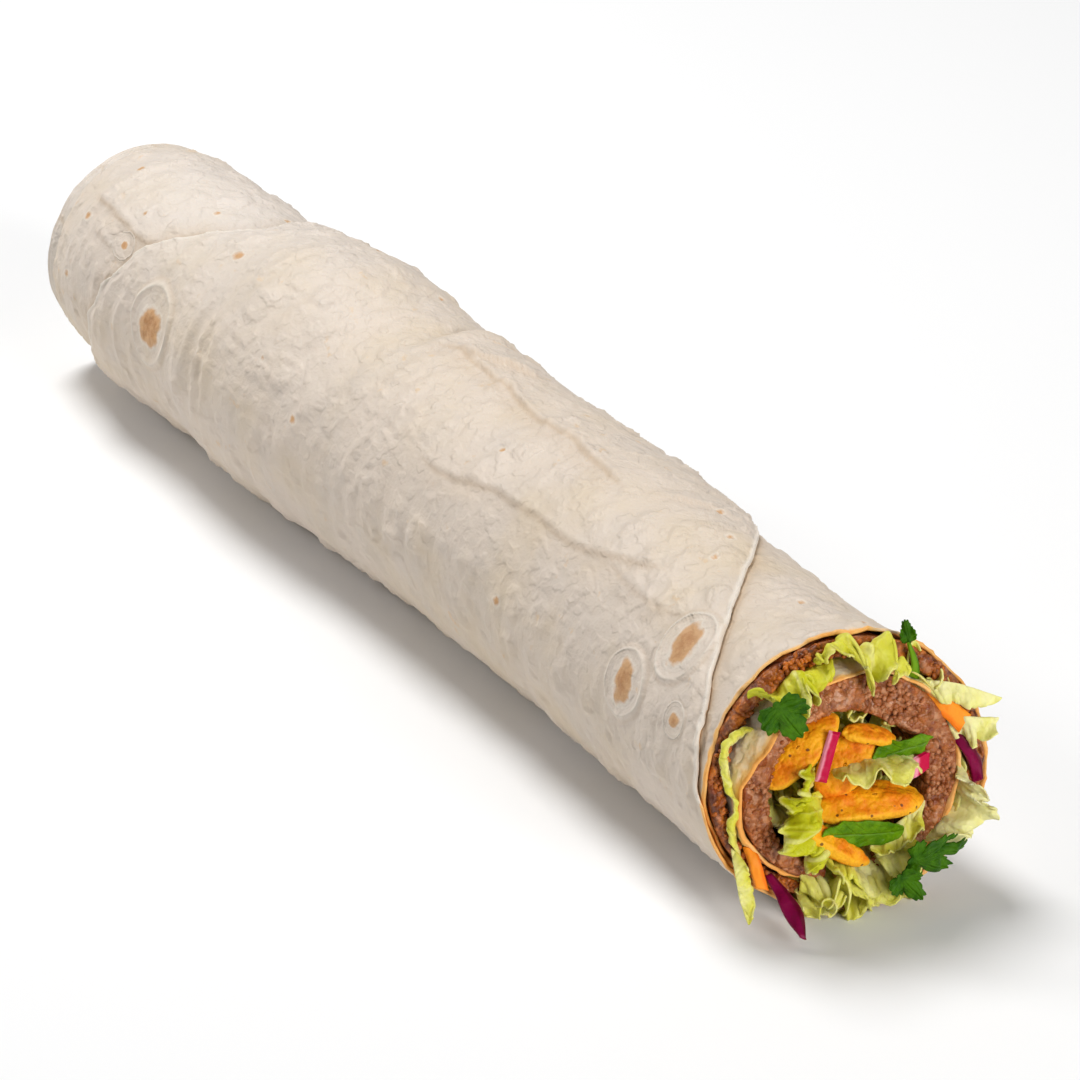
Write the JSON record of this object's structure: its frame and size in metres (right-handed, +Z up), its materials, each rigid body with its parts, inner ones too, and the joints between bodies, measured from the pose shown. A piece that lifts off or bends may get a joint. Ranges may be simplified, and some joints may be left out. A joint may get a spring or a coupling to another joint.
{
  "type": "cig kofte wrap",
  "caption": "Long flatbread roll filled with spiced bulgur paste and salad, tucked in at one end and open at the other, with leaves, chips and pickles showing.",
  "frame": {"origin": "under the middle of the whole wrap with its leaves, on the surface that it rests on", "axes": "+X along the roll towards its open end, +Z up, +Y to the left as seen from the tucked end looking towards the open end"},
  "size_m": [0.2702, 0.0524, 0.0532],
  "materials": {
    "lavash": "soft baked flatbread, dull and floury, with browned blister spots",
    "kofte": "moist red-brown bulgur paste with fine grains",
    "lettuce": "thin crisp leaf, pale to lime green with lighter veins",
    "corn_chip": "fried corn chip, rough and orange with dark specks",
    "radish": "pickled radish stick, wet magenta",
    "carrot": "raw carrot strip, bright orange",
    "red_cabbage": "shredded red cabbage, deep purple with paler ribs",
    "herb": "fresh parsley and rocket leaf, mid to dark green"
  },
  "bodies": {
    "root": {"cabbage_strip_1": "red_cabbage", "cabbage_strip_2": "red_cabbage", "carrot_strip_1": "carrot", "carrot_strip_2": "carrot", "corn_chip_1": "corn_chip", "corn_chip_2": "corn_chip", "corn_chip_3": "corn_chip", "corn_chip_4": "corn_chip", "corn_chip_5": "corn_chip", "green_leaf_1": "herb", "green_leaf_2": "herb", "kofte": "kofte", "lavash": "lavash", "lettuce_core": "lettuce", "lettuce_layer": "lettuce", "lettuce_leaf_1": "lettuce", "lettuce_leaf_10": "lettuce", "lettuce_leaf_11": "lettuce", "lettuce_leaf_12": "lettuce", "lettuce_leaf_2": "lettuce", "lettuce_leaf_3": "lettuce", "lettuce_leaf_4": "lettuce", "lettuce_leaf_5": "lettuce", "lettuce_leaf_6": "lettuce", "lettuce_leaf_7": "lettuce", "lettuce_leaf_8": "lettuce", "lettuce_leaf_9": "lettuce", "parsley_leaf_1": "herb", "parsley_leaf_2": "herb", "parsley_leaf_3": "herb", "parsley_leaf_4": "herb", "parsley_stem": "herb", "radish_stick_1": "radish", "radish_stick_2": "radish"}
  },
  "joints": []
}
